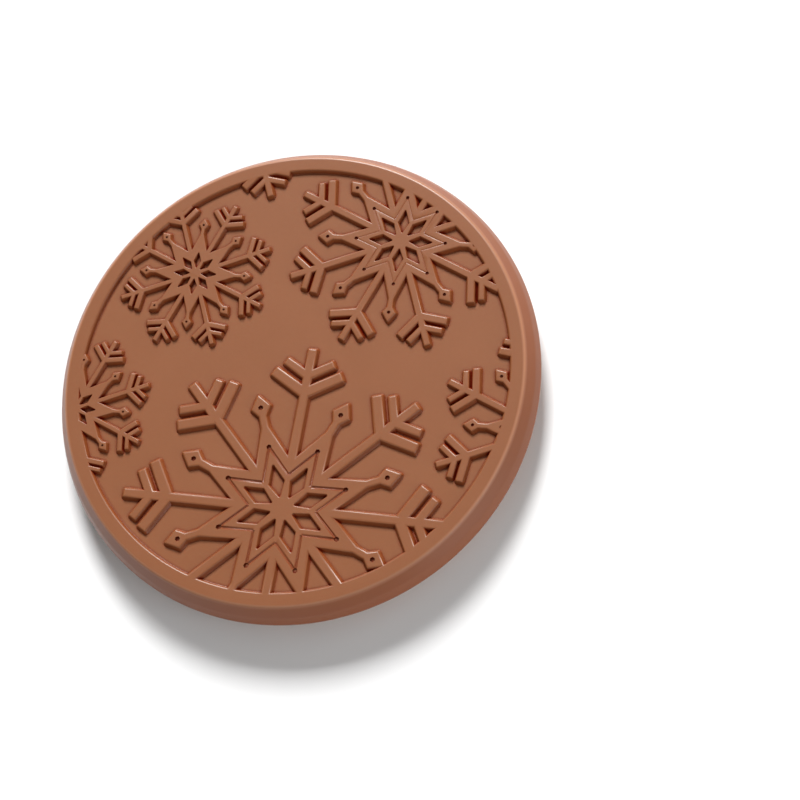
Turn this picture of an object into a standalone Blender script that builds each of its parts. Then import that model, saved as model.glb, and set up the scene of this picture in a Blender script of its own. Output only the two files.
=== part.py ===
"""A chocolate sugar cookie: a milk-chocolate disc with raised snowflakes, and the embossed
sugar biscuit that is set into its back.

The cookie lies flat with the snowflakes up and rests on the flat crest ring of the biscuit.
Metres, +Z up. The origin is the centre of the underside, on the surface the cookie lies on.
"""
import math

import bmesh
import bpy
from mathutils import Matrix, Vector

MM = 0.001
SAME_PLACE = 0.01 * MM
SHARP_ANGLE = 30.0

# Heights above the surface that the cookie lies on
BISCUIT_PROUD = 2.8 * MM
DISC_HEIGHT = 3.2 * MM
BISCUIT_SET_IN = 0.9 * MM
CLEARANCE = 0.3 * MM
LEDGE_Z = BISCUIT_PROUD
RIM_Z = LEDGE_Z + DISC_HEIGHT
BISCUIT_TOP_Z = LEDGE_Z + BISCUIT_SET_IN
POCKET_Z = BISCUIT_TOP_Z + CLEARANCE

# Chocolate disc
RING_RADIUS = 25.6 * MM
FACE_RADIUS = 27.25 * MM
LEDGE_RADIUS = 28.6 * MM
RIM_ROUND = 0.3 * MM
LEDGE_ROUND = 0.4 * MM
DISC_STEPS = 96

# Raised snowflakes
RELIEF = 0.5 * MM
DRAFT = 0.18 * MM
FIELD_Z = RIM_Z - RELIEF
FLAKE_Z = RIM_Z - 0.03 * MM
ROOT_DEPTH = 0.3 * MM
CLIP_RADIUS = RING_RADIUS + 0.7 * MM

# Sugar biscuit
BISCUIT_RADIUS = 25.4 * MM
FLUTES = 66
CREST_OUTER_RADIUS = 18.2 * MM
CREST_INNER_RADIUS = 16.9 * MM
GROOVE_WIDTH = 0.3 * MM
GROOVE_Z = 0.6 * MM
BAND_OUTER_RADIUS = 16.2 * MM
BAND_INNER_RADIUS = 15.5 * MM
BAND_Z = 0.2 * MM
PANEL_RADIUS = 15.2 * MM
PANEL_Z = 0.65 * MM

# The fluted rim, from the flank inwards: how far in from the biscuit's edge and how high a rib's
# crest and the floor of the groove beside it are.
RIB_AND_GROOVE = (
    ((0.00 * MM, 2.50 * MM), (0.35 * MM, 2.50 * MM)),
    ((0.00 * MM, 1.50 * MM), (0.35 * MM, 1.60 * MM)),
    ((0.45 * MM, 0.70 * MM), (0.85 * MM, 1.10 * MM)),
    ((1.50 * MM, 0.15 * MM), (1.80 * MM, 0.65 * MM)),
    ((6.40 * MM, 0.15 * MM), (6.40 * MM, 0.60 * MM)),
)

# The rosette on the biscuit's panel
ROSETTE_Z = 0.15 * MM
ROSETTE_DRAFT = 0.2 * MM
LOOP_CENTRE_RADIUS = 10.6 * MM
LOOP_RADIUS = 3.3 * MM
LOOP_WIDTH = 1.0 * MM
LOOP_STEPS = 16
PIP_RADIUS = 0.75 * MM
PIP_STEPS = 8
OUTER_PIP_CENTRE_RADIUS = 13.9 * MM
PETAL = {"near": 1.6 * MM, "middle": 4.6 * MM, "far": 7.4 * MM, "half_width": 1.2 * MM}

CHOCOLATE = {"colour": (0.35, 0.15, 0.08, 1.0), "roughness": 0.38}
BISCUIT = {"colour": (0.84, 0.60, 0.37, 1.0), "roughness": 0.75}

# Each snowflake: hub as a fraction of the ring's radius, reach of its long arms as a fraction
# of the ring's radius, and turn in degrees anticlockwise from +Y.
SNOWFLAKES = (
    ((0.027, -0.613), 0.755, -4.3),
    ((0.436, 0.658), 0.529, 19.3),
    ((-0.516, 0.494), 0.363, 19.6),
    ((-1.007, -0.166), 0.359, 19.6),
    ((1.183, -0.226), 0.508, 19.3),
    ((-0.373, 1.370), 0.528, 19.1),
)

# One snowflake of unit reach, with a long arm along +Y. Long and short arms alternate.
ARMS = 8
ARM_TURN = 360.0 / ARMS
HALF_TURN = ARM_TURN / 2
STEM_WIDTH = 0.064
STEM_START = 0.25
LOWER_BRANCH = {"at": 0.717, "length": 0.250, "width": 0.074}
UPPER_BRANCH = {"at": 0.824, "length": 0.178, "width": 0.060}
BRANCH_TURN = 60.0
STAR_TIP = 0.60
STAR_NOTCH = 0.30
NECK_START = 0.45
NECK_WIDTH = 0.055
HEAD_AT = 0.652
HEAD_HALF_LENGTH = 0.093
HEAD_HALF_WIDTH = 0.066
EYE_NEAR = 0.07
EYE_MIDDLE = 0.165
EYE_FAR = 0.285
EYE_HALF_WIDTH = 0.048


# ---------------------------------------------------------------- Blender helpers

def clear_scene():
    for obj in list(bpy.data.objects):
        bpy.data.objects.remove(obj, do_unlink=True)


def new_collection(name):
    collection = bpy.data.collections.new(name)
    bpy.context.scene.collection.children.link(collection)
    return collection


def new_object(name, mesh, collection):
    obj = bpy.data.objects.new(name, mesh)
    collection.objects.link(obj)
    return obj


def mesh_from_bmesh(name, bm):
    bmesh.ops.recalc_face_normals(bm, faces=bm.faces)
    mesh = bpy.data.meshes.new(name)
    bm.to_mesh(mesh)
    bm.free()
    return mesh


def apply_modifiers(obj):
    """Keep the evaluated shape as the object's own mesh."""
    evaluated = obj.evaluated_get(bpy.context.evaluated_depsgraph_get())
    mesh = bpy.data.meshes.new_from_object(evaluated)
    obj.modifiers.clear()
    obj.data = mesh


def boolean(obj, operation, collection):
    """Join, cut or clip an object with every object of a collection, which is then emptied."""
    modifier = obj.modifiers.new(operation.title(), "BOOLEAN")
    modifier.operation = operation
    modifier.operand_type = "COLLECTION"
    modifier.collection = collection
    modifier.solver = "EXACT"
    apply_modifiers(obj)
    for tool in list(collection.objects):
        bpy.data.objects.remove(tool, do_unlink=True)
    bpy.data.collections.remove(collection)


def finish_surface(obj, finish):
    """Give the object its colour, and shade it smooth except across its edges."""
    material = bpy.data.materials.new(obj.name)
    material.use_nodes = True
    shader = material.node_tree.nodes["Principled BSDF"]
    shader.inputs["Base Color"].default_value = finish["colour"]
    shader.inputs["Roughness"].default_value = finish["roughness"]
    shader.inputs["Metallic"].default_value = 0.0
    obj.data.materials.clear()
    obj.data.materials.append(material)
    obj.data.shade_smooth()
    obj.data.set_sharp_from_angle(angle=math.radians(SHARP_ANGLE))


# ---------------------------------------------------------------- Shapes

def turned(name, profile, steps, collection, closed=False):
    """A turned solid from (radius, height) points that run down the outer side.

    An open profile starts and ends on the axis. A closed one gives a ring.
    """
    mesh = bpy.data.meshes.new(name)
    edges = [(i, i + 1) for i in range(len(profile) - 1)]
    if closed:
        edges.append((len(profile) - 1, 0))
    mesh.from_pydata([(radius, 0.0, height) for radius, height in profile], edges, [])
    obj = new_object(name, mesh, collection)
    screw = obj.modifiers.new("Turn", "SCREW")
    screw.axis = "Z"
    screw.steps = steps
    screw.render_steps = steps
    screw.use_merge_vertices = True
    screw.merge_threshold = SAME_PLACE
    apply_modifiers(obj)
    return obj


def polar(radius, degrees):
    """A point at a radius, turned anticlockwise from +Y."""
    angle = math.radians(degrees)
    return Vector((-radius * math.sin(angle), radius * math.cos(angle)))


def bar(start, end, width):
    """The outline of a straight bar."""
    along = (end - start).normalized()
    side = Vector((-along.y, along.x)) * (width / 2)
    return [start - side, end - side, end + side, start + side]


def kite(near, middle, far, half_width):
    """The outline of a kite that points along +Y."""
    left, right = Vector((-half_width, middle)), Vector((half_width, middle))
    return [Vector((0, near)), right, Vector((0, far)), left]


def star(tip, notch):
    """The outline of a star whose notches face the long arms."""
    return [polar(tip if k % 2 else notch, HALF_TURN * k) for k in range(2 * ARMS)]


def moved(outline, centre, size, degrees):
    """The outline scaled, turned and carried to its centre."""
    turn = Matrix.Rotation(math.radians(degrees), 2)
    return [centre + turn @ point * size for point in outline]


def grown(outline, distance):
    """The outline with every side moved out by a distance, and mitred corners."""
    result = []
    for before, point, after in zip(outline[-1:] + outline[:-1], outline, outline[1:] + outline[:1]):
        first = (point - before).normalized()
        second = (after - point).normalized()
        normals = Vector((first.y, -first.x)) + Vector((second.y, -second.x))
        result.append(point + normals * distance / (1 + first.dot(second)))
    return result


def raised(name, outline, root_z, crest_z, draft, collection):
    """A solid with the outline at its crest, and walls that spread by the draft towards its root."""
    bm = bmesh.new()
    crest = [bm.verts.new((point.x, point.y, crest_z)) for point in outline]
    root = [bm.verts.new((point.x, point.y, root_z)) for point in grown(outline, draft)]
    bm.faces.new(crest)
    bm.faces.new(root)
    for k in range(len(outline)):
        after = (k + 1) % len(outline)
        bm.faces.new((crest[k], crest[after], root[after], root[k]))
    return new_object(name, mesh_from_bmesh(name, bm), collection)


# ---------------------------------------------------------------- Snowflakes

def branches(spec):
    """The two bars that leave a long arm to the left and to the right."""
    start = Vector((0, spec["at"]))
    ends = [start + polar(spec["length"], side * BRANCH_TURN) for side in (1, -1)]
    return [bar(start, end, spec["width"]) for end in ends]


def long_arm():
    stem = bar(Vector((0, STEM_START)), Vector((0, 1)), STEM_WIDTH)
    return [stem] + branches(LOWER_BRANCH) + branches(UPPER_BRANCH)


def short_arm():
    neck = bar(Vector((0, NECK_START)), Vector((0, HEAD_AT)), NECK_WIDTH)
    head = kite(HEAD_AT - HEAD_HALF_LENGTH, HEAD_AT, HEAD_AT + HEAD_HALF_LENGTH, HEAD_HALF_WIDTH)
    return [neck, head]


def snowflake():
    """The outlines of one snowflake's raised pieces."""
    outlines = [star(STAR_TIP, STAR_NOTCH)]
    for k in range(ARMS):
        for outline in long_arm():
            outlines.append(moved(outline, Vector((0, 0)), 1, ARM_TURN * k))
        for outline in short_arm():
            outlines.append(moved(outline, Vector((0, 0)), 1, ARM_TURN * k + HALF_TURN))
    return outlines


def eyes():
    """The outlines of the diamond openings in the star."""
    eye = kite(EYE_NEAR, EYE_MIDDLE, EYE_FAR, EYE_HALF_WIDTH)
    return [moved(eye, Vector((0, 0)), 1, ARM_TURN * k + HALF_TURN) for k in range(ARMS)]


def on_face(outlines):
    """Every outline on every snowflake, without those that lie wholly outside the ring."""
    for hub, reach, turn in SNOWFLAKES:
        for outline in outlines:
            placed = moved(outline, Vector(hub) * RING_RADIUS, reach * RING_RADIUS, turn)
            if min(point.length for point in placed) < RING_RADIUS:
                yield placed


def make_relief(collection):
    """All snowflakes as one solid, cut off inside the rim."""
    pieces = new_collection("relief pieces")
    root_z = FIELD_Z - ROOT_DEPTH
    spread = DRAFT * (FLAKE_Z - root_z) / (FLAKE_Z - FIELD_Z)
    for outline in on_face(snowflake()):
        raised("piece", outline, root_z, FLAKE_Z, spread, pieces)
    relief = pieces.objects[0]
    pieces.objects.unlink(relief)
    collection.objects.link(relief)
    boolean(relief, "UNION", pieces)
    clip = new_collection("relief clip")
    foot_z = root_z - ROOT_DEPTH
    limits = [(0, RIM_Z), (CLIP_RADIUS, RIM_Z), (CLIP_RADIUS, foot_z), (0, foot_z)]
    turned("clip", limits, DISC_STEPS, clip)
    boolean(relief, "INTERSECT", clip)


# ---------------------------------------------------------------- Chocolate disc

def rounded(corner_radius, corner_z, size, upper):
    """Three profile points that round an outer corner, from the upper one to the lower one."""
    bevel = size * (1 - math.sqrt(0.5))
    if upper:
        offsets = ((size, 0), (bevel, bevel), (0, size))
        return [(corner_radius - inward, corner_z - down) for inward, down in offsets]
    offsets = ((0, size), (bevel, bevel), (size, 0))
    return [(corner_radius - inward, corner_z + up) for inward, up in offsets]


def make_chocolate_disc(collection):
    """The disc: a flat rim round a sunk field, a wall that flares to the ledge, and a pocket."""
    pocket_radius = BISCUIT_RADIUS + CLEARANCE
    profile = [(0, FIELD_Z), (RING_RADIUS - DRAFT, FIELD_Z), (RING_RADIUS, RIM_Z)]
    profile += rounded(FACE_RADIUS, RIM_Z, RIM_ROUND, upper=True)
    profile += rounded(LEDGE_RADIUS, LEDGE_Z, LEDGE_ROUND, upper=False)
    profile += [(pocket_radius, LEDGE_Z), (pocket_radius, POCKET_Z), (0, POCKET_Z)]
    disc = turned("chocolate_disc", profile, DISC_STEPS, collection)

    relief = new_collection("relief")
    make_relief(relief)
    boolean(disc, "UNION", relief)

    cutters = new_collection("eye cutters")
    for outline in on_face(eyes()):
        raised("eye", outline, FIELD_Z, RIM_Z + ROOT_DEPTH, 0, cutters)
    boolean(disc, "DIFFERENCE", cutters)
    finish_surface(disc, CHOCOLATE)


# ---------------------------------------------------------------- Sugar biscuit

def cut_flutes(mesh):
    """Move every second column of points from a rib's crest to the floor of a groove."""
    for vert in mesh.vertices:
        radius = math.hypot(vert.co.x, vert.co.y)
        column = round(math.atan2(vert.co.y, vert.co.x) / math.tau * 2 * FLUTES)
        for (inset, height), (groove_inset, groove_height) in RIB_AND_GROOVE:
            on_rib = math.hypot(radius - BISCUIT_RADIUS + inset, vert.co.z - height) < SAME_PLACE
            if on_rib and column % 2:
                vert.co.x *= (BISCUIT_RADIUS - groove_inset) / radius
                vert.co.y *= (BISCUIT_RADIUS - groove_inset) / radius
                vert.co.z = groove_height
                break


def pip(centre, collection):
    """A small round stud that rises from the panel."""
    bm = bmesh.new()
    depth = PANEL_Z + ROOT_DEPTH - ROSETTE_Z
    place = Matrix.Translation((centre.x, centre.y, ROSETTE_Z + depth / 2))
    bmesh.ops.create_cone(bm, cap_ends=True, segments=PIP_STEPS, radius1=PIP_RADIUS - ROSETTE_DRAFT,
                          radius2=PIP_RADIUS, depth=depth, matrix=place)
    new_object("pip", mesh_from_bmesh("pip", bm), collection)


def loop(centre, collection):
    """A round raised line."""
    outer = LOOP_RADIUS + LOOP_WIDTH / 2
    inner = LOOP_RADIUS - LOOP_WIDTH / 2
    root_z = PANEL_Z + ROOT_DEPTH
    section = [(inner, root_z), (outer, root_z)]
    section += [(outer - ROSETTE_DRAFT, ROSETTE_Z), (inner + ROSETTE_DRAFT, ROSETTE_Z)]
    ring = turned("loop", section, LOOP_STEPS, collection, closed=True)
    ring.location = (centre.x, centre.y, 0)


def make_rosette(collection):
    """Loops round a ring of petals, with a pip in each loop, in each gap and at the centre."""
    pip(Vector((0, 0)), collection)
    for k in range(ARMS):
        turn = ARM_TURN * k
        loop(polar(LOOP_CENTRE_RADIUS, turn), collection)
        pip(polar(LOOP_CENTRE_RADIUS, turn), collection)
        pip(polar(OUTER_PIP_CENTRE_RADIUS, turn + HALF_TURN), collection)
        petal = moved(kite(**PETAL), Vector((0, 0)), 1, turn + HALF_TURN)
        raised("petal", petal, PANEL_Z + ROOT_DEPTH, ROSETTE_Z, ROSETTE_DRAFT, collection)


def make_sugar_biscuit(collection):
    """The biscuit, crest down: fluted rim, crest ring, thin band and a sunk panel with a rosette."""
    profile = [(0, BISCUIT_TOP_Z), (BISCUIT_RADIUS, BISCUIT_TOP_Z)]
    profile += [(BISCUIT_RADIUS - inset, height) for (inset, height), _ in RIB_AND_GROOVE]
    profile += [
        (CREST_OUTER_RADIUS + GROOVE_WIDTH, GROOVE_Z),
        (CREST_OUTER_RADIUS, 0),
        (CREST_INNER_RADIUS, 0),
        (BAND_OUTER_RADIUS + GROOVE_WIDTH, GROOVE_Z),
        (BAND_OUTER_RADIUS, BAND_Z),
        (BAND_INNER_RADIUS, BAND_Z),
        (PANEL_RADIUS, PANEL_Z),
        (0, PANEL_Z),
    ]
    biscuit = turned("sugar_biscuit", profile, 2 * FLUTES, collection)
    cut_flutes(biscuit.data)
    rosette = new_collection("rosette")
    make_rosette(rosette)
    boolean(biscuit, "UNION", rosette)
    finish_surface(biscuit, BISCUIT)


clear_scene()
cookie = new_collection("chocolate sugar cookie")
make_chocolate_disc(cookie)
make_sugar_biscuit(cookie)
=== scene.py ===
# %% [markdown]
# # A chocolate sugar cookie
# A thin milk-chocolate disc, moulded with raised snowflakes, holds an embossed sugar biscuit in its
# back. It lies with the snowflakes up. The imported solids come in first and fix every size. Two finer
# pieces then stand for them: a moulded disc with soft edges, and a baked biscuit with ribs and crumb.

# %% Load the frame
import math

import bmesh
import bpy
from mathutils import Matrix, Vector


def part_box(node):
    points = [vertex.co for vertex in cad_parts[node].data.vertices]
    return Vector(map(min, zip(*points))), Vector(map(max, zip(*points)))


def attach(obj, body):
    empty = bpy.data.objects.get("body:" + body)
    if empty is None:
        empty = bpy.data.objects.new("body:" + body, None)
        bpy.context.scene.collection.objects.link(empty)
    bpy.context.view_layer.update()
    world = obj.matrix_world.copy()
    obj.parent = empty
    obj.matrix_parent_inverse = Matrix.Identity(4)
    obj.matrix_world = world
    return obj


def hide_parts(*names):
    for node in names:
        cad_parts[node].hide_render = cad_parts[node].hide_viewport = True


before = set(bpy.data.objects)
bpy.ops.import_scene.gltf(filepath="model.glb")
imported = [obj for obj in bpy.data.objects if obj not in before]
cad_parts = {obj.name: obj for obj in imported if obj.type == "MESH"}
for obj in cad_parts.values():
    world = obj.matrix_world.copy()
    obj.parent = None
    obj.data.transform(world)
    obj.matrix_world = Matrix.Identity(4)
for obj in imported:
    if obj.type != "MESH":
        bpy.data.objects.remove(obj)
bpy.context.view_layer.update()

print("packed solids:", ", ".join(sorted(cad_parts)))

# %% [markdown]
# ## Sizes
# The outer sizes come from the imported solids, so the finer pieces fit exactly where those were. The
# width of the rim, the height of the relief and the lean of its walls are steps in or down from them.

# %% Sizes
MM = 0.001
chocolate_low, chocolate_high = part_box("chocolate_disc")
biscuit_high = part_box("sugar_biscuit")[1]

RIM_Z = chocolate_high.z
LEDGE_Z = chocolate_low.z
LEDGE_RADIUS = chocolate_high.x
BISCUIT_RADIUS = biscuit_high.x
BISCUIT_TOP_Z = biscuit_high.z

WALL_FLARE = 1.35 * MM
RIM_WIDTH = 1.65 * MM
FACE_RADIUS = LEDGE_RADIUS - WALL_FLARE
RING_RADIUS = FACE_RADIUS - RIM_WIDTH
RELIEF = 0.5 * MM
DRAFT = 0.18 * MM
FIELD_Z = RIM_Z - RELIEF
print(f"rim at {RIM_Z / MM:.2f} mm, ring radius {RING_RADIUS / MM:.2f} mm")

# %% [markdown]
# ## Turned shapes
# Both pieces of the cookie are round, so each starts as half of its cross-section, which a Screw
# modifier turns about the Z axis. Corners are rounded in the line itself: a fillet that is drawn once
# in the section is even all the way round.

# %% Turned shapes
SAME_PLACE = 0.001 * MM


def new_object(name, data):
    obj = bpy.data.objects.new(name, data)
    bpy.context.scene.collection.objects.link(obj)
    return obj


def keep_result(obj):
    """Make what the modifiers show the object's own plain mesh, and drop the modifiers."""
    evaluated = obj.evaluated_get(bpy.context.evaluated_depsgraph_get())
    mesh = bpy.data.meshes.new_from_object(evaluated)
    obj.modifiers.clear()
    obj.data = mesh


def corner_arc(before, corner, after, radius, steps):
    """The points of an arc that rounds a corner and touches both of its sides."""
    back = (before - corner).normalized()
    ahead = (after - corner).normalized()
    half = back.angle(ahead) / 2
    centre = corner + (back + ahead).normalized() * radius / math.sin(half)
    spoke = corner + back * radius / math.tan(half) - centre
    sweep = math.copysign(math.pi - 2 * half, ahead.x * back.y - ahead.y * back.x)
    return [centre + Matrix.Rotation(sweep * k / steps, 2) @ spoke for k in range(steps + 1)]


def rounded(corners, steps=6):
    """A line through (radius, height, fillet) corners in millimetres."""
    points = [Vector((x, y)) * MM for x, y, _ in corners]
    line = [points[0]]
    for k in range(1, len(points) - 1):
        fillet = corners[k][2] * MM
        if fillet:
            line += corner_arc(points[k - 1], points[k], points[k + 1], fillet, steps)
        else:
            line.append(points[k])
    return line + [points[-1]]


def turned(name, line, steps):
    """A closed turned solid from a line that runs down the outer side, from axis to axis."""
    mesh = bpy.data.meshes.new(name)
    edges = [(k, k + 1) for k in range(len(line) - 1)]
    mesh.from_pydata([(point.x, 0, point.y) for point in line], edges, [])
    obj = new_object(name, mesh)
    screw = obj.modifiers.new("Turn", "SCREW")
    screw.axis = "Z"
    screw.steps = steps
    screw.render_steps = steps
    screw.use_merge_vertices = True
    screw.merge_threshold = SAME_PLACE
    keep_result(obj)
    return obj


print("points in a line with one fillet:", len(rounded([(0, 1, 0), (1, 1, 0.3), (1, 0, 0)])))

# %% [markdown]
# ## Node maths as Python
# A node tree is hard to read as a list of nodes and links. Here one small class wraps an output
# socket, so that `1 - mask` or `height * 0.5` adds the Math node by itself. One method adds any other
# node. The same two classes serve materials and Geometry Nodes.

# %% Node maths as Python
class Wire:
    """An output socket. Arithmetic on it adds Math nodes to its tree."""

    def __init__(self, graph, socket):
        self.graph = graph
        self.socket = socket

    def output(self, name):
        """Another output of the same node."""
        return Wire(self.graph, self.socket.node.outputs[name])

    def __add__(self, other):
        return self.graph.math("ADD", self, other)

    def __sub__(self, other):
        return self.graph.math("SUBTRACT", self, other)

    def __rsub__(self, other):
        return self.graph.math("SUBTRACT", other, self)

    def __mul__(self, other):
        return self.graph.math("MULTIPLY", self, other)

    def __truediv__(self, other):
        return self.graph.math("DIVIDE", self, other)

    def __rtruediv__(self, other):
        return self.graph.math("DIVIDE", other, self)

    def __pow__(self, other):
        return self.graph.math("POWER", self, other)

    def __abs__(self):
        return self.graph.math("ABSOLUTE", self)

    __radd__ = __add__
    __rmul__ = __mul__


class Graph:
    """A node tree that is being built."""

    def __init__(self, tree):
        self.tree = tree
        tree.nodes.clear()

    def add(self, kind, settings=None, sockets=None):
        """Add any node: first its settings, then the value or the link of each socket."""
        node = self.tree.nodes.new(kind)
        for name, value in (settings or {}).items():
            if name == "stops":
                self.set_stops(node.color_ramp, value)
            else:
                setattr(node, name, value)
        for key, value in (sockets or {}).items():
            if isinstance(value, Wire):
                self.tree.links.new(value.socket, node.inputs[key])
            else:
                node.inputs[key].default_value = value
        return Wire(self, node.outputs[0]) if node.outputs else node

    def set_stops(self, ramp, stops):
        while len(ramp.elements) < len(stops):
            ramp.elements.new(1)
        for element, (position, colour) in zip(ramp.elements, stops):
            element.position = position
            element.color = colour

    def math(self, operation, *values):
        return self.add("ShaderNodeMath", {"operation": operation}, dict(enumerate(values)))

    def between(self, value, low, high):
        """0 up to the first end, 1 from the second end on, and a smooth rise from one to the other."""
        sockets = {"Value": value, "From Min": low, "From Max": high}
        return self.add("ShaderNodeMapRange", {"interpolation_type": "SMOOTHSTEP"}, sockets)

    def blend(self, factor, first, second):
        """A colour between two others."""
        settings = {"data_type": "RGBA"}
        return self.add("ShaderNodeMix", settings, {0: factor, 6: first, 7: second}).output(2)

    def split(self, vector):
        """The X, Y and Z of a vector."""
        x = self.add("ShaderNodeSeparateXYZ", None, {0: vector})
        return x, x.output("Y"), x.output("Z")


print("helpers for node trees:", Wire.__name__, "and", Graph.__name__)

# %% [markdown]
# ## Geometry Nodes as tools
# A tree is made once, with its sizes as named inputs, and then used on as many pieces as needed. Each
# use gives its own values. The result is kept as a plain mesh, so nothing stays live.

# %% Geometry Nodes as tools
INPUT_KINDS = {int: "NodeSocketInt", float: "NodeSocketFloat", Vector: "NodeSocketVector"}


def geometry_tree(name, **kinds):
    """An empty tree with a geometry input and named inputs. Gives the graph and its inputs."""
    tree = bpy.data.node_groups.new(name, "GeometryNodeTree")
    tree.interface.new_socket("Geometry", in_out="INPUT", socket_type="NodeSocketGeometry")
    tree.interface.new_socket("Geometry", in_out="OUTPUT", socket_type="NodeSocketGeometry")
    for label, kind in kinds.items():
        tree.interface.new_socket(label, in_out="INPUT", socket_type=INPUT_KINDS[kind])
    graph = Graph(tree)
    first = graph.add("NodeGroupInput")
    return graph, {label: first.output(label) for label in ("Geometry", *kinds)}


def finish_tree(graph, geometry, material):
    """End a tree in a plain mesh of one material."""
    real = graph.add("GeometryNodeRealizeInstances", None, {"Geometry": geometry})
    sockets = {"Geometry": real, "Material": material}
    painted = graph.add("GeometryNodeSetMaterial", None, sockets)
    graph.add("NodeGroupOutput", None, {"Geometry": painted})
    return graph.tree


def input_names(tree):
    return [item.name for item in tree.interface.items_tree if item.in_out == "INPUT"]


def use_tree(obj, tree, **values):
    """Run a tree on an object with these values of its inputs, and keep the result."""
    modifier = obj.modifiers.new(tree.name, "NODES")
    modifier.node_group = tree
    for item in tree.interface.items_tree:
        if item.in_out == "INPUT" and item.name in values:
            modifier[item.identifier] = values[item.name]
    keep_result(obj)


print("an input can be:", ", ".join(kind.__name__ for kind in INPUT_KINDS))

# %% [markdown]
# ## Milk chocolate
# Moulded milk chocolate is a warm, slightly pink brown. It has a satin skin, because it copied a smooth
# mould, with a faint cloudiness where the cocoa butter set unevenly. Walls are given a painted shade,
# darker and redder than level faces, and creases a deep red painted shade, where they also lose their
# gloss. A pale painted highlight runs along the rim's outer edge. A slow noise gives the clouds and a
# fine one the skin. The surface's own direction finds the walls, and Ambient Occlusion finds the
# creases.

# %% Milk chocolate
CHOCOLATE_DARK = (0.219, 0.076, 0.028, 1)
CHOCOLATE_LIGHT = (0.250, 0.090, 0.036, 1)
# Painted shade for walls: darker and redder than level faces.
CHOCOLATE_WALL_PAINTED_SHADE = (0.226, 0.062, 0.0165, 1)
# Painted shade for creases: a deep, saturated red-brown.
CHOCOLATE_PAINTED_SHADE = (0.130, 0.006, 0.0002, 1)
# Painted highlight: a pale line along the rim's outer edge.
CHOCOLATE_PAINTED_HIGHLIGHT = (0.42, 0.20, 0.115, 1)
CLOUD_SIZE = 6 * MM
SKIN_SIZE = 0.5 * MM
SKIN_DEPTH = 0.05 * MM
CLOUD_SHARE = 0.6
# Where the painted shade on walls starts and where it is full.
LEVEL, STEEP = 0.98, 0.7
# How far and how strongly the painted shade in creases reaches.
PAINTED_SHADE_REACH = 0.4 * MM
PAINTED_SHADE_STARTS, PAINTED_SHADE_FULL = 0.10, 0.42
# Width and strength of the painted highlight along the rim's edge.
PAINTED_HIGHLIGHT_HALF_WIDTH = 0.3 * MM
PAINTED_HIGHLIGHT_STRENGTH = 0.7
GLOSS = 0.6


def new_material(name):
    material = bpy.data.materials.new(name)
    material.use_nodes = True
    return material, Graph(material.node_tree)


def noise(graph, where, size, detail=2.0):
    """A noise whose patches are about as wide as the size."""
    sockets = {"Vector": where, "Scale": 1 / size, "Detail": detail}
    return graph.add("ShaderNodeTexNoise", None, sockets)


def painted_shade_mask(graph):
    """1 deep in creases and 0 out in the open: where the painted shade goes."""
    settings = {"samples": 2, "only_local": True}
    occlusion = graph.add("ShaderNodeAmbientOcclusion", settings, {"Distance": PAINTED_SHADE_REACH})
    return graph.between(1 - occlusion.output("AO"), PAINTED_SHADE_STARTS, PAINTED_SHADE_FULL)


def chocolate_colour(graph, coordinates, clouds, skin, painted_shade):
    """Cloudy on level faces, with painted shade on walls and in creases and a painted highlight along
    the rim's edge.
    """
    cloudy = CLOUD_SHARE * clouds + (1 - CLOUD_SHARE) * skin
    colour = graph.blend(cloudy, CHOCOLATE_DARK, CHOCOLATE_LIGHT)
    # Painted shade: walls are made darker and redder than level faces.
    upwards = graph.split(coordinates.output("Normal"))[2]
    colour = graph.blend(graph.between(upwards, LEVEL, STEEP), colour, CHOCOLATE_WALL_PAINTED_SHADE)
    # Painted shade: creases are darkened to a deep red.
    colour = graph.blend(painted_shade, colour, CHOCOLATE_PAINTED_SHADE)
    # Painted highlight: a pale line along the rim's outer edge.
    x, y, z = graph.split(coordinates.output("Object"))
    from_edge = abs((x * x + y * y) ** 0.5 - FACE_RADIUS)
    edge = graph.between(from_edge, PAINTED_HIGHLIGHT_HALF_WIDTH, 0) * graph.between(z, LEDGE_Z, RIM_Z)
    return graph.blend(edge * PAINTED_HIGHLIGHT_STRENGTH, colour, CHOCOLATE_PAINTED_HIGHLIGHT)


def milk_chocolate():
    material, graph = new_material("milk_chocolate")
    coordinates = graph.add("ShaderNodeTexCoord")
    where = coordinates.output("Object")
    clouds = noise(graph, where, CLOUD_SIZE)
    skin = noise(graph, where, SKIN_SIZE, detail=4.0)
    # Mask of the painted shade in creases; the gloss is taken away there too.
    painted_shade = painted_shade_mask(graph)
    bump = graph.add("ShaderNodeBump", None, {
        "Strength": 0.12, "Distance": SKIN_DEPTH, "Height": skin})
    shader = graph.add("ShaderNodeBsdfPrincipled", None, {
        "Base Color": chocolate_colour(graph, coordinates, clouds, skin, painted_shade),
        "Roughness": 0.50 + 0.08 * clouds,
        "IOR": 1.45,
        "Specular IOR Level": 0.1,
        "Coat Weight": GLOSS - GLOSS * painted_shade,
        "Coat Roughness": 0.33,
        "Subsurface Weight": 0.15,
        "Subsurface Radius": (1.0, 0.35, 0.15),
        "Subsurface Scale": 0.3 * MM,
        "Normal": bump,
    })
    graph.add("ShaderNodeOutputMaterial", None, {"Surface": shader})
    return material


CHOCOLATE = milk_chocolate()
print("material:", CHOCOLATE.name)

# %% [markdown]
# ## Baked biscuit
# The biscuit is pale where it stands proud and golden in its grooves and on its flank. The modelling
# below stores how browned each point is, so the colour follows the ribs. Fine crumb and a few pores
# break up the skin. Close under the ledge, a smear of chocolate has crept a little way down the flank.

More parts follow.
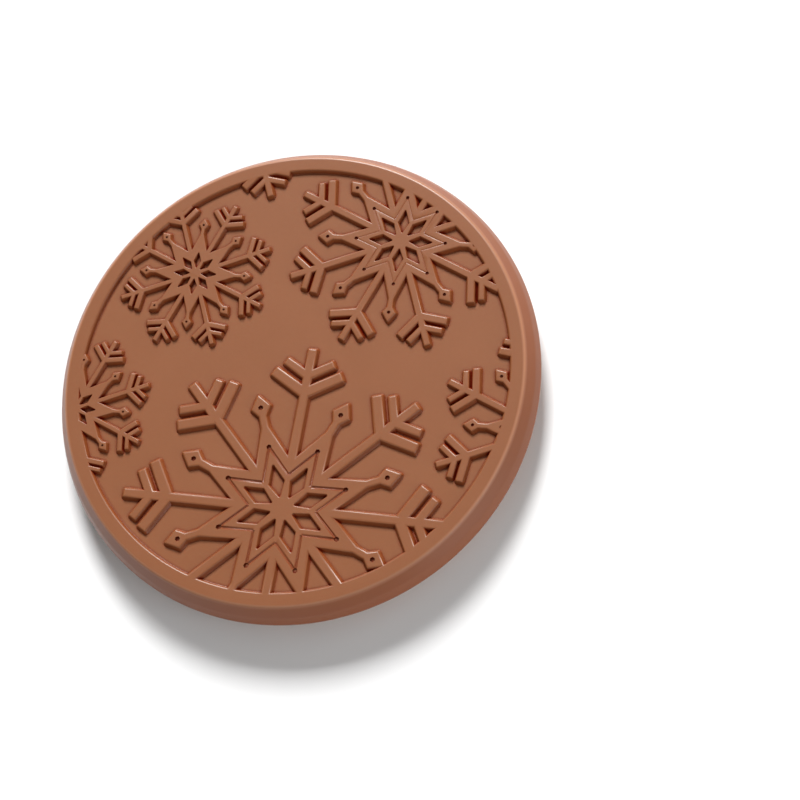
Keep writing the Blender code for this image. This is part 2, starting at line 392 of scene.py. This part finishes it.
# %% Baked biscuit
BAKED_COLOURS = [
    (0.0, (0.93, 0.70, 0.55, 1)),
    (0.35, (0.86, 0.60, 0.40, 1)),
    (0.7, (0.66, 0.37, 0.16, 1)),
    (1.0, (0.42, 0.19, 0.06, 1)),
]
BAKED_CLOUD_SIZE = 3 * MM
CRUMB_SIZE = 0.35 * MM
PORE_SIZE = 0.6 * MM
PORE_STARTS, PORE_FULL = 0.60, 0.72
CRUMB_DEPTH = 0.08 * MM
SMEAR = 0.45 * MM


def biscuit_colour(graph, where, crumb, pores):
    """Browned as the modelling says, in uneven clouds, with the chocolate smear under the ledge."""
    baked = graph.add("ShaderNodeAttribute", {"attribute_name": "baked"}).output("Fac")
    clouds = noise(graph, where, BAKED_CLOUD_SIZE)
    toast = baked + 0.35 * (clouds - 0.5) + 0.25 * (crumb - 0.5) + 0.25 * pores
    colour = graph.add("ShaderNodeValToRGB", {"stops": BAKED_COLOURS}, {"Fac": toast})
    uneven = graph.split(where)[2] + SMEAR * (clouds - 0.5)
    smear = graph.between(uneven, LEDGE_Z - SMEAR, LEDGE_Z - SMEAR / 2)
    return graph.blend(smear, colour, CHOCOLATE_DARK)


def baked_biscuit():
    material, graph = new_material("baked_biscuit")
    where = graph.add("ShaderNodeTexCoord").output("Object")
    crumb = noise(graph, where, CRUMB_SIZE, detail=5.0)
    pores = graph.between(noise(graph, where, PORE_SIZE), PORE_STARTS, PORE_FULL)
    bump = graph.add("ShaderNodeBump", None, {
        "Strength": 0.5, "Distance": CRUMB_DEPTH, "Height": crumb - 0.8 * pores})
    shader = graph.add("ShaderNodeBsdfPrincipled", None, {
        "Base Color": biscuit_colour(graph, where, crumb, pores),
        "Roughness": 0.75,
        "Subsurface Weight": 0.2,
        "Subsurface Radius": (1.0, 0.6, 0.3),
        "Subsurface Scale": 0.5 * MM,
        "Normal": bump,
    })
    graph.add("ShaderNodeOutputMaterial", None, {"Surface": shader})
    return material


BISCUIT = baked_biscuit()
print("material:", BISCUIT.name)

# %% [markdown]
# ## Outlines
# A snowflake is drawn with straight lines alone: bars, kites and a star. A mould rounds their corners
# and leans their walls outwards, so two more tools are needed. One moves every side of an outline out
# or in by a distance. The other rounds the corners that point outwards.

# %% Outlines
def polar(radius, degrees):
    """A point at a radius, turned anticlockwise from +Y."""
    angle = math.radians(degrees)
    return Vector((-radius * math.sin(angle), radius * math.cos(angle)))


def bar(start, end, width):
    along = (end - start).normalized()
    side = Vector((-along.y, along.x)) * (width / 2)
    return [start - side, end - side, end + side, start + side]


def kite(near, middle, far, half_width):
    left, right = Vector((-half_width, middle)), Vector((half_width, middle))
    return [Vector((0, near)), right, Vector((0, far)), left]


def around(outline):
    """Each point of an outline with the points before and after it."""
    return zip(outline[-1:] + outline[:-1], outline, outline[1:] + outline[:1])


def grown(outline, distance):
    """The outline with every side moved out by a distance."""
    result = []
    for before, point, after in around(outline):
        first = (point - before).normalized()
        second = (after - point).normalized()
        normals = Vector((first.y, -first.x)) + Vector((second.y, -second.x))
        result.append(point + normals * distance / (1 + first.dot(second)))
    return result


def softened(outline, radius, steps=3):
    """The outline with its outward corners rounded."""
    result = []
    for before, point, after in around(outline):
        if (point - before).cross(after - point) > 0:
            result += corner_arc(before, point, after, radius, steps)
        else:
            result.append(point)
    return result


print("points in a softened kite:", len(softened(kite(0, 1, 2, 1), 0.1)))

# %% [markdown]
# ## Raised pieces
# The mould gives an outline its body: a level crest, a small round along its edge, and a wall that
# leans outwards so that the chocolate lets go of the mould. The round is wider on a larger snowflake.
# A list of levels says how far out from the outline, and how high, each step of the body is. The foot
# goes on a little below the field, so that the two join without a gap.

# %% Raised pieces
FLAKE_Z = RIM_Z - 0.004 * MM
LEAST_DROP = 0.10 * MM
DROP_PER_REACH = 0.0094
RUN_PER_REACH = 0.017
CORNER_PER_REACH = 0.0114
LEAST_CORNER = 0.02 * MM
ROOT_DEPTH = 0.3 * MM


def quarter_turn(steps):
    return [math.pi / 2 * k / steps for k in range(steps + 1)]


def crest_levels(reach, steps=6):
    """How far out from its outline, and how high, each level of a raised piece is."""
    run, drop = RUN_PER_REACH * reach, LEAST_DROP + DROP_PER_REACH * reach
    crest = [
        (run * (math.sin(t) - 1), FLAKE_Z + drop * (math.cos(t) - 1)) for t in quarter_turn(steps)]
    slope = DRAFT / (RELIEF - drop)
    depth = RELIEF - drop + ROOT_DEPTH
    return crest + [(slope * depth, FLAKE_Z - drop - depth)]


def solid(name, outline, levels, corner):
    """A closed solid through the outline at each level. A corner turns tighter further in."""
    bm = bmesh.new()
    rings = []
    for out, z in levels:
        line = softened(grown(outline, out), max(corner + out, LEAST_CORNER))
        rings.append([bm.verts.new((p.x, p.y, z)) for p in line])
    bm.faces.new(rings[0])
    bm.faces.new(rings[-1])
    for upper, lower in zip(rings, rings[1:]):
        for k in range(len(upper)):
            bm.faces.new((upper[k - 1], upper[k], lower[k], lower[k - 1]))
    bmesh.ops.recalc_face_normals(bm, faces=bm.faces)
    mesh = bpy.data.meshes.new(name)
    bm.to_mesh(mesh)
    bm.free()
    return new_object(name, mesh)


for out, z in crest_levels(10 * MM):
    print(f"{out / MM:+.3f} mm out from the outline at a height of {z / MM:.3f} mm")

# %% [markdown]
# ## Round the hub
# A snowflake has eight long arms and eight short ones, all alike. Only one of each is drawn. This tree
# sets copies of a piece on points at the hub and turns each copy a step further.

# %% Round the hub
def ring_tree():
    graph, group = geometry_tree("Ring of copies", Count=int, Hub=Vector, Turn=float)
    sockets = {"Count": group["Count"], "Position": group["Hub"]}
    points = graph.add("GeometryNodePoints", None, sockets)
    turn = graph.add("GeometryNodeInputIndex") * math.tau / group["Count"] + group["Turn"]
    euler = graph.add("ShaderNodeCombineXYZ", None, {"Z": turn})
    rotation = graph.add("FunctionNodeEulerToRotation", None, {"Euler": euler})
    sockets = {"Points": points, "Instance": group["Geometry"], "Rotation": rotation}
    copies = graph.add("GeometryNodeInstanceOnPoints", None, sockets)
    return finish_tree(graph, copies, CHOCOLATE)


RING = ring_tree()
print(f"{RING.name}:", ", ".join(input_names(RING)))

# %% [markdown]
# ## The snowflakes
# There are six, of three sizes, and four of them run out under the rim. A flake is a star with eight
# points. Long arms leave its notches and end in two pairs of branches. Short arms leave its points and
# end in a diamond. Lengths are fractions of a long arm's reach, so that one drawing serves every size.

# %% The snowflakes
SNOWFLAKES = (
    # hub (fraction of the ring's radius), reach (same), turn in degrees anticlockwise from +Y
    ((0.027, -0.613), 0.755, -4.3),
    ((0.436, 0.658), 0.529, 19.3),
    ((-0.516, 0.494), 0.363, 19.6),
    ((-1.007, -0.166), 0.359, 19.6),
    ((1.183, -0.226), 0.508, 19.3),
    ((-0.373, 1.370), 0.528, 19.1),
)
ARMS = 8
HALF_TURN = 180.0 / ARMS
STAR_TIP = 0.60
STAR_NOTCH = 0.30
STEM = {"start": 0.25, "width": 0.064}
BRANCHES = (
    {"at": 0.717, "length": 0.250, "width": 0.074},
    {"at": 0.824, "length": 0.178, "width": 0.060},
)
BRANCH_TURN = 60.0
NECK = {"start": 0.45, "width": 0.055}
HEAD = {"at": 0.652, "half_length": 0.093, "half_width": 0.066}


def up(distance):
    """A point straight up from the hub."""
    return Vector((0, distance))


def star(tip, notch):
    return [polar(tip if k % 2 else notch, HALF_TURN * k) for k in range(2 * ARMS)]


def raised_outlines():
    """The outlines that repeat round the hub, and the part of a step by which each is turned."""
    outlines = [(bar(up(STEM["start"]), up(1), STEM["width"]), 0)]
    for spec in BRANCHES:
        start = up(spec["at"])
        for side in (1, -1):
            end = start + polar(spec["length"], side * BRANCH_TURN)
            outlines.append((bar(start, end, spec["width"]), 0))
    outlines.append((bar(up(NECK["start"]), up(HEAD["at"]), NECK["width"]), 0.5))
    head_near = HEAD["at"] - HEAD["half_length"]
    head_far = HEAD["at"] + HEAD["half_length"]
    outlines.append((kite(head_near, HEAD["at"], head_far, HEAD["half_width"]), 0.5))
    return outlines


def on_hub(outline, levels_for, flake, part_turn, count=ARMS, corner=CORNER_PER_REACH):
    """A piece of one flake at its real size, repeated round the flake's hub."""
    hub, share, turn = flake
    reach = share * RING_RADIUS
    at_size = [point * reach for point in outline]
    piece = solid("piece", at_size, levels_for(reach), corner * reach)
    centre = (hub[0] * RING_RADIUS, hub[1] * RING_RADIUS, 0)
    angle = math.radians(turn + part_turn * 2 * HALF_TURN)
    use_tree(piece, RING, Count=count, Hub=centre, Turn=angle)
    return piece


print(f"{len(raised_outlines())} outlines, each {ARMS} times on {len(SNOWFLAKES)} flakes")

# %% [markdown]
# ## Eyes, fine lines and dots
# Eight diamond eyes open round each hub, down to the field. The two large sizes also carry a fine
# star, engraved in the crest, with a dot at each tip, and every diamond head has a dot. All of them
# are cut out with the same kind of solid turned over: wide at the top and narrower below. Fine lines
# are less deep on a smaller flake, because the cutter that engraved the mould went in less far.

# %% Eyes, fine lines and dots
EYE = {"near": 0.070, "middle": 0.165, "far": 0.285, "half_width": 0.048}
EYE_ROUND_PER_REACH = 0.0085
EYE_CORNER_PER_REACH = 0.005
EYE_DEPTH = 0.05 * MM
ABOVE_RIM = 0.3 * MM
GROOVE = {
    "tip": 0.395, "notch": 0.207, "width": 0.021, "inset": 0.0085, "depth": 0.14 * MM, "fading": 2}
DOT = {"radius": 0.016, "sides": 6, "inset": 0.006, "depth": 0.24 * MM, "fading": 0.5}
FULL_DEPTH_REACH = 19.3 * MM
HEAD_DOT_AT = 0.65


def eye_levels(reach, steps=4):
    """The levels of an opening, from above the crest down to just below the field."""
    soft = EYE_ROUND_PER_REACH * reach
    edge = [
        (soft * (1 - math.sin(t)), FLAKE_Z + soft * (math.cos(t) - 1)) for t in quarter_turn(steps)]
    return [(soft, RIM_Z + ABOVE_RIM)] + edge + [(-soft, FIELD_Z - EYE_DEPTH)]


def engraved_levels(reach, spec):
    """The levels of a fine line or dot that is cut into the crest."""
    depth = spec["depth"] * (reach / FULL_DEPTH_REACH) ** spec["fading"]
    return [(0, RIM_Z + ABOVE_RIM), (0, RIM_Z), (-spec["inset"] * reach, RIM_Z - depth)]


def groove_levels(reach):
    return engraved_levels(reach, GROOVE)


def dot_levels(reach):
    return engraved_levels(reach, DOT)


def dot_outline(at):
    step = 360.0 / DOT["sides"]
    return [up(at) - polar(DOT["radius"], -step * k) for k in range(DOT["sides"])]


def engraved_outlines():
    """The two sides of the fine star that repeat, and the dots."""
    tip, notch = polar(GROOVE["tip"], HALF_TURN), polar(GROOVE["notch"], 0)
    next_notch = polar(GROOVE["notch"], 2 * HALF_TURN)
    pieces = [
        (bar(start, tip, GROOVE["width"]), 0, groove_levels, True) for start in (notch, next_notch)]
    pieces.append((dot_outline(GROOVE["tip"]), 0.5, dot_levels, True))
    pieces.append((dot_outline(HEAD_DOT_AT), 0.5, dot_levels, False))
    return pieces


print("outlines to engrave:", len(engraved_outlines()))

# %% [markdown]
# ## Join, clip and cut
# A Boolean modifier joins all raised pieces at once, because they share a collection. The result is
# clipped a little way inside the rim, so that the outer flakes run out under it, and then the eyes,
# lines and dots are cut. The Manifold solver is quick and exact on closed pieces such as these.

# %% Join, clip and cut
UNDER_RIM = 0.7 * MM
CLIP_STEPS = 96
ENGRAVED_FROM_REACH = 0.5


def combine(obj, operation, tools):
    """Join, cut or clip an object with others, which are then removed."""
    collection = bpy.data.collections.new("tools")
    bpy.context.scene.collection.children.link(collection)
    for tool in tools:
        bpy.context.scene.collection.objects.unlink(tool)
        collection.objects.link(tool)
    modifier = obj.modifiers.new(operation.title(), "BOOLEAN")
    modifier.operation = operation
    modifier.operand_type = "COLLECTION"
    modifier.collection = collection
    modifier.solver = "MANIFOLD"
    keep_result(obj)
    for tool in tools:
        bpy.data.objects.remove(tool)
    bpy.data.collections.remove(collection)


def raised_flakes():
    """All flakes as one solid."""
    pieces = []
    for flake in SNOWFLAKES:
        pieces.append(on_hub(star(STAR_TIP, STAR_NOTCH), crest_levels, flake, 0, count=1))
        for outline, part_turn in raised_outlines():
            pieces.append(on_hub(outline, crest_levels, flake, part_turn))
    relief, *others = pieces
    combine(relief, "UNION", others)
    return relief


def clip_under_rim(relief):
    edge = RING_RADIUS + UNDER_RIM
    top, bottom = RIM_Z + ABOVE_RIM, FIELD_Z - 2 * ROOT_DEPTH
    corners = [(0, top), (edge, top), (edge, bottom), (0, bottom)]
    combine(relief, "INTERSECT", [turned("clip", [Vector(c) for c in corners], CLIP_STEPS)])


def cut_eyes_and_lines(relief):
    eye = kite(**EYE)
    eyes = [on_hub(eye, eye_levels, flake, 0.5, corner=EYE_CORNER_PER_REACH) for flake in SNOWFLAKES]
    combine(relief, "DIFFERENCE", eyes)
    large = [flake for flake in SNOWFLAKES if flake[1] > ENGRAVED_FROM_REACH]
    for outline, part_turn, levels_for, large_only in engraved_outlines():
        flakes = large if large_only else SNOWFLAKES
        cuts = [on_hub(outline, levels_for, flake, part_turn, corner=0) for flake in flakes]
        combine(relief, "DIFFERENCE", cuts)


relief = raised_flakes()
clip_under_rim(relief)
cut_eyes_and_lines(relief)
print("relief:", len(relief.data.polygons), "faces")

# %% [markdown]
# ## The disc
# The disc is one turned section: a sunk field inside a flat rim, a wall that flares down to the ledge,
# and a pocket for the biscuit. The ledge runs in under the biscuit's edge, as poured chocolate does.
# The flakes are then joined to it.

# %% The disc
DISC_STEPS = 360
POCKET_INSET = 0.6
POCKET_CLEARANCE = 0.3
SHOULDER = {"inset": 0.38, "down": 1.55, "fillet": 2.0}
FOOT_HEIGHT = 0.6
FILLETS = {"field": 0.08, "rim inside": 0.3, "rim outside": 0.5, "foot": 0.5, "ledge": 0.4}
SHARP_ANGLE = 40
FACE_WEIGHT = 100


def chocolate_disc(relief):
    ring, face, ledge = (r / MM for r in (RING_RADIUS, FACE_RADIUS, LEDGE_RADIUS))
    rim, field, base = (z / MM for z in (RIM_Z, FIELD_Z, LEDGE_Z))
    pocket = BISCUIT_RADIUS / MM - POCKET_INSET
    ceiling = BISCUIT_TOP_Z / MM + POCKET_CLEARANCE
    section = rounded([
        (0, field, 0),
        (ring - DRAFT / MM, field, FILLETS["field"]),
        (ring, rim, FILLETS["rim inside"]),
        (face, rim, FILLETS["rim outside"]),
        (ledge - SHOULDER["inset"], rim - SHOULDER["down"], SHOULDER["fillet"]),
        (ledge, base + FOOT_HEIGHT, FILLETS["foot"]),
        (ledge, base, FILLETS["ledge"]),
        (pocket, base, 0),
        (pocket, ceiling, 0),
        (0, ceiling, 0),
    ])
    disc = turned("milk_chocolate_disc", section, DISC_STEPS)
    combine(disc, "UNION", [relief])
    return disc


def smooth_finish(obj, material):
    """Shade the piece smooth across its rounds, and keep its level faces level."""
    obj.data.materials.clear()
    obj.data.materials.append(material)
    obj.data.shade_smooth()
    obj.data.set_sharp_from_angle(angle=math.radians(SHARP_ANGLE))
    weighted = obj.modifiers.new("Weighted", "WEIGHTED_NORMAL")
    weighted.weight = FACE_WEIGHT
    weighted.keep_sharp = True
    keep_result(obj)


def hand_over(piece, node):
    """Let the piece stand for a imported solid."""
    print(f"{piece.name}: {sum(len(p.vertices) - 2 for p in piece.data.polygons)} triangles")
    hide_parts(node)
    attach(piece, "root")


disc = chocolate_disc(relief)
smooth_finish(disc, CHOCOLATE)
hand_over(disc, "chocolate_disc")

# %% [markdown]
# ## The biscuit's section
# The biscuit is pressed in a mould and baked, so its section has a steep flank, a broad fluted rim, a
# level crest ring that it rests on, a thin band, and a sunk panel. The line is divided finely, because
# the next tree moves its points to press the ribs and the rosette.

# %% The biscuit's section
# Sizes in millimetres: radii of the pressed forms, and heights above the crest ring's level face
TOP_BEVEL = 0.3
FLANK_Z = 0.9
FLUTED_RIM_INSET = 1.2
FLUTED_RIM_Z = 0.15
FLUTED_RIM_END = 18.9
CREST_OUTER, CREST_INNER = 18.2, 16.9
BAND_OUTER, BAND_INNER = 16.25, 15.5
BAND_Z = 0.2
GROOVE_OUTER, GROOVE_INNER = 18.55, 16.5
GROOVE_Z = 0.6
PANEL_RADIUS = 15.2
PANEL_Z = 0.65
BISCUIT_FILLETS = {"flank": 0.7, "rim": 0.8, "rim end": 0.25, "crest": 0.2, "fine": 0.15}
ROW_LENGTH = 0.2 * MM
RIBS = 66
COLUMNS_PER_RIB = 8


def biscuit_section():
    edge, top = BISCUIT_RADIUS / MM, BISCUIT_TOP_Z / MM
    fine, crest = BISCUIT_FILLETS["fine"], BISCUIT_FILLETS["crest"]
    return rounded([
        (0, top, 0),
        (edge - TOP_BEVEL, top, 0),
        (edge, top - TOP_BEVEL, 0),
        (edge, FLANK_Z, BISCUIT_FILLETS["flank"]),
        (edge - FLUTED_RIM_INSET, FLUTED_RIM_Z, BISCUIT_FILLETS["rim"]),
        (FLUTED_RIM_END, FLUTED_RIM_Z, BISCUIT_FILLETS["rim end"]),
        (GROOVE_OUTER, GROOVE_Z, fine),
        (CREST_OUTER, 0, crest),
        (CREST_INNER, 0, crest),
        (GROOVE_INNER, GROOVE_Z, fine),
        (BAND_OUTER, BAND_Z, fine),
        (BAND_INNER, BAND_Z, fine),
        (PANEL_RADIUS, PANEL_Z, fine),
        (0, PANEL_Z, 0),
    ], steps=4)


def divided(line, longest):
    """The line with extra points, so that no stretch of it is longer than a given length."""
    result = [line[0]]
    for start, end in zip(line, line[1:]):
        parts = max(1, math.ceil((end - start).length / longest))
        result += [start.lerp(end, k / parts) for k in range(1, parts + 1)]
    return result


def biscuit_blank():
    """The turned biscuit before it is pressed. Its hidden top is left as one plain face."""
    centre, *shown = biscuit_section()
    line = [centre] + divided(shown, ROW_LENGTH)
    return turned("sugar_biscuit_baked", line, RIBS * COLUMNS_PER_RIB)


biscuit = biscuit_blank()
print("points to press:", len(biscuit.data.vertices))

# %% [markdown]
# ## The rosette as a rule
# The panel is folded in thought, like a paper snowflake, into one narrow wedge. Then one loop, one
# petal and a few pips in that wedge serve the whole panel. Each form is a number for every point: 1
# where it stands out and 0 where it doesn't. Where forms meet, the higher one shows.

# %% The rosette as a rule
PETAL_SLOPE = 0.35 * MM


def distance(along, across, centre):
    """How far a point is from a centre that lies along the wedge's edge."""
    gap = along - centre
    return (gap * gap + across * across) ** 0.5


def ridge(graph, away, half_width):
    """A round-topped line or stud: 1 along its middle, 0 from its half width on."""
    part = graph.math("MINIMUM", away / half_width, 1)
    return 1 - part * part * part


def rosette(graph, group, radius, angle):
    """1 on the rosette's raised forms, 0 on the panel round them."""
    half_step = math.pi / group["Repeats"]
    fold = graph.math("PINGPONG", angle, half_step)
    loop_x, loop_y = radius * graph.math("COSINE", fold), radius * graph.math("SINE", fold)
    other = half_step - fold
    petal_x, petal_y = radius * graph.math("COSINE", other), radius * graph.math("SINE", other)

    from_loop = distance(loop_x, loop_y, group["LoopCentre"])
    from_outer_pip = distance(petal_x, petal_y, group["OuterPipCentre"])
    loops = ridge(graph, abs(from_loop - group["LoopRadius"]), group["LineWidth"] / 2)
    pips = [ridge(graph, away, group["PipRadius"]) for away in (from_loop, from_outer_pip, radius)]

    rising = (petal_x - group["PetalStart"]) / (group["PetalMiddle"] - group["PetalStart"])
    falling = (group["PetalEnd"] - petal_x) / (group["PetalEnd"] - group["PetalMiddle"])
    petal_edge = graph.math("MINIMUM", rising, falling) * group["PetalHalfWidth"] - petal_y
    raised = graph.between(petal_edge, 0, PETAL_SLOPE)
    for form in (loops, *pips):
        raised = graph.math("MAXIMUM", raised, form)
    return raised


print("petals rise over", PETAL_SLOPE / MM, "mm")

# %% [markdown]
# ## Pressed ribs
# The ribs follow a rule as well: the angle says how far a point is from the nearest groove. Columns of
# points are first gathered towards the grooves, where the shape bends most. The tree then presses the
# grooves in, lifts the rosette, roughens all of it a little, and stores how browned each point is.

# %% Pressed ribs
RIB_FADE = 1.2 * MM
PLAIN_TOP, RIBBED_BELOW = 0.2 * MM, 0.6 * MM
GRAIN_SIZE = 0.7 * MM
WAVE_SIZE = 5 * MM
PALE_Z, BROWN_Z = 0.3 * MM, 1.6 * MM
PANEL_PALE_Z, PANEL_GOLDEN_Z = 0.2 * MM, 0.6 * MM
GROOVE_BROWNING, FLANK_BROWNING, PANEL_BROWNING = 0.75, 0.45, 0.35


def browning(graph, z, groove, raised):
    """How browned each point is: grooves and flank most, the panel a little, proud forms least."""
    flank = graph.between(z, PALE_Z, BROWN_Z)
    panel = graph.between(z, PANEL_PALE_Z, PANEL_GOLDEN_Z) * (1 - raised)
    rim = GROOVE_BROWNING * groove + FLANK_BROWNING * flank
    return graph.math("MAXIMUM", rim, PANEL_BROWNING * panel)


def press_tree():
    graph, group = geometry_tree(
        "Press ribs and rosette", Ribs=int, RibDepth=float, RibSharpness=float, RibsFrom=float,
        Gather=float, Relief=float, Repeats=int, LoopCentre=float, LoopRadius=float, LineWidth=float,
        PipRadius=float, OuterPipCentre=float, PetalStart=float, PetalMiddle=float, PetalEnd=float,
        PetalHalfWidth=float, Crumb=float)
    place = graph.add("GeometryNodeInputPosition")
    x, y, z = graph.split(place)
    radius = (x * x + y * y) ** 0.5
    angle = graph.math("ARCTAN2", y, x)

    angle = angle - group["Gather"] * graph.math("SINE", angle * group["Ribs"]) / group["Ribs"]
    across, along = radius * graph.math("COSINE", angle), radius * graph.math("SINE", angle)
    swept = graph.add("ShaderNodeCombineXYZ", None, {"X": across, "Y": along, "Z": z})
    sockets = {"Geometry": group["Geometry"], "Position": swept}
    gathered = graph.add("GeometryNodeSetPosition", None, sockets)

    share = graph.math("PINGPONG", angle * group["Ribs"] / math.tau, 0.5) * 2
    groove = graph.math("MAXIMUM", 1 - share, 0) ** group["RibSharpness"]
    inner_end = graph.between(radius, group["RibsFrom"], group["RibsFrom"] + RIB_FADE)
    lower_end = graph.between(z, BISCUIT_TOP_Z - PLAIN_TOP, BISCUIT_TOP_Z - RIBBED_BELOW)
    groove = groove * (inner_end * lower_end)
    raised = rosette(graph, group, radius, angle)

    grain = noise(graph, place, GRAIN_SIZE, detail=3.0) * group["Crumb"]
    waves = noise(graph, place, WAVE_SIZE) * group["Crumb"]
    inward = groove * group["RibDepth"] + grain + waves
    normal = graph.add("GeometryNodeInputNormal")
    sockets = {0: normal, "Scale": -1 * inward}
    shift = graph.add("ShaderNodeVectorMath", {"operation": "SCALE"}, sockets)
    lift = graph.add("ShaderNodeCombineXYZ", None, {"Z": -1 * raised * group["Relief"]})
    offset = graph.add("ShaderNodeVectorMath", {"operation": "ADD"}, {0: shift, 1: lift})

    baked = browning(graph, z, groove, raised)
    sockets = {"Geometry": gathered, "Name": "baked", "Value": baked}
    stored = graph.add("GeometryNodeStoreNamedAttribute", None, sockets)
    pressed = graph.add("GeometryNodeSetPosition", None, {"Geometry": stored, "Offset": offset})
    return finish_tree(graph, pressed, BISCUIT)


use_tree(
    biscuit, press_tree(), Ribs=RIBS, RibDepth=0.5 * MM, RibSharpness=4.0, RibsFrom=18.6 * MM,
    Gather=0.6, Relief=0.5 * MM, Repeats=8, LoopCentre=10.6 * MM, LoopRadius=3.3 * MM,
    LineWidth=1.1 * MM, PipRadius=0.8 * MM, OuterPipCentre=13.9 * MM, PetalStart=1.6 * MM,
    PetalMiddle=4.6 * MM, PetalEnd=7.4 * MM, PetalHalfWidth=1.3 * MM, Crumb=0.05 * MM)
biscuit.data.shade_smooth()
hand_over(biscuit, "sugar_biscuit")

# %% [markdown]
# ## Floor
# The cookie lies on a plain white table.

# %% Floor
FLOOR_HALF_WIDTH = 2
FLOOR_PATCH = 50 * MM


def floor():
    bm = bmesh.new()
    bmesh.ops.create_grid(bm, x_segments=1, y_segments=1, size=FLOOR_HALF_WIDTH)
    mesh = bpy.data.meshes.new("floor")
    bm.to_mesh(mesh)
    bm.free()
    obj = new_object("floor", mesh)
    material, graph = new_material("floor")
    where = graph.add("ShaderNodeTexCoord").output("Object")
    patches = noise(graph, where, FLOOR_PATCH)
    tone = graph.blend(patches, (0.86, 0.86, 0.86, 1), (0.88, 0.88, 0.88, 1))
    sockets = {"Base Color": tone, "Roughness": 0.8}
    shader = graph.add("ShaderNodeBsdfPrincipled", None, sockets)
    graph.add("ShaderNodeOutputMaterial", None, {"Surface": shader})
    mesh.materials.append(material)


floor()
print("floor:", 2 * FLOOR_HALF_WIDTH, "m wide")

# %% [markdown]
# ## Light
# Relief shows best in light that rakes across it, so the main softbox stands behind the cookie and a
# little to the left. A low fill opens the shade in front, and two long, thin boxes draw a fine bright
# line along the edges that face them.

# %% Light
SOFTBOXES = (
    # name, azimuth, elevation, distance, width, height, power
    ("key", 189, 38, 2.0, 0.7, 0.7, 68.0),
    ("fill", 60, 12, 1.0, 0.8, 0.8, 6.0),
    ("front", 0, 46, 1.2, 1.4, 0.12, 1.8),
    ("side", 95, 46, 1.2, 1.4, 0.12, 1.8),
)
WORLD_STRENGTH = 0.14


def towards(azimuth, elevation):
    """The direction from the cookie to something at these angles. Azimuth 0 is -Y, and +X is at 90."""
    a, e = math.radians(azimuth), math.radians(elevation)
    return Vector((math.sin(a) * math.cos(e), -math.cos(a) * math.cos(e), math.sin(e)))


def softbox(name, azimuth, elevation, distance, width, height, power):
    light = bpy.data.lights.new(name, "AREA")
    light.shape = "RECTANGLE"
    light.size = width
    light.size_y = height
    light.energy = power
    obj = new_object(name, light)
    way = towards(azimuth, elevation)
    obj.location = way * distance
    obj.rotation_euler = way.to_track_quat("Z", "Y").to_euler()


def studio_air(strength):
    """Even white light from all round."""
    world = bpy.data.worlds.new("studio")
    world.use_nodes = True
    background = world.node_tree.nodes["Background"]
    background.inputs["Color"].default_value = (1, 1, 1, 1)
    background.inputs["Strength"].default_value = strength
    bpy.context.scene.world = world


for spec in SOFTBOXES:
    softbox(*spec)
studio_air(WORLD_STRENGTH)
print("softboxes:", ", ".join(spec[0] for spec in SOFTBOXES))

# %% [markdown]
# ## Camera
# A long lens from far off keeps the round outline from stretching. It looks down steeply on the
# snowflakes and is rolled, so that the largest flake stands at the lower left.

# %% Camera
AIM = Vector((13.13 * MM, -2.52 * MM, RIM_Z))
SENSOR_WIDTH = 36
NEAREST = 10 * MM


def camera(azimuth, elevation, roll, distance, aim, lens):
    data = bpy.data.cameras.new("camera")
    data.lens = lens
    data.sensor_width = SENSOR_WIDTH
    data.clip_start = NEAREST
    obj = new_object("camera", data)
    way = towards(azimuth, elevation)
    turn = Matrix.Rotation(math.radians(roll), 3, way)
    obj.location = aim + way * distance
    obj.rotation_euler = (turn @ way.to_track_quat("Z", "Y").to_matrix()).to_euler()
    bpy.context.scene.camera = obj


camera(azimuth=40.07, elevation=66.06, roll=-36.52, distance=379.79 * MM, aim=AIM, lens=151.1)
bpy.context.scene.view_settings.view_transform = "Standard"
print("camera at", [round(value, 3) for value in bpy.context.scene.camera.location])
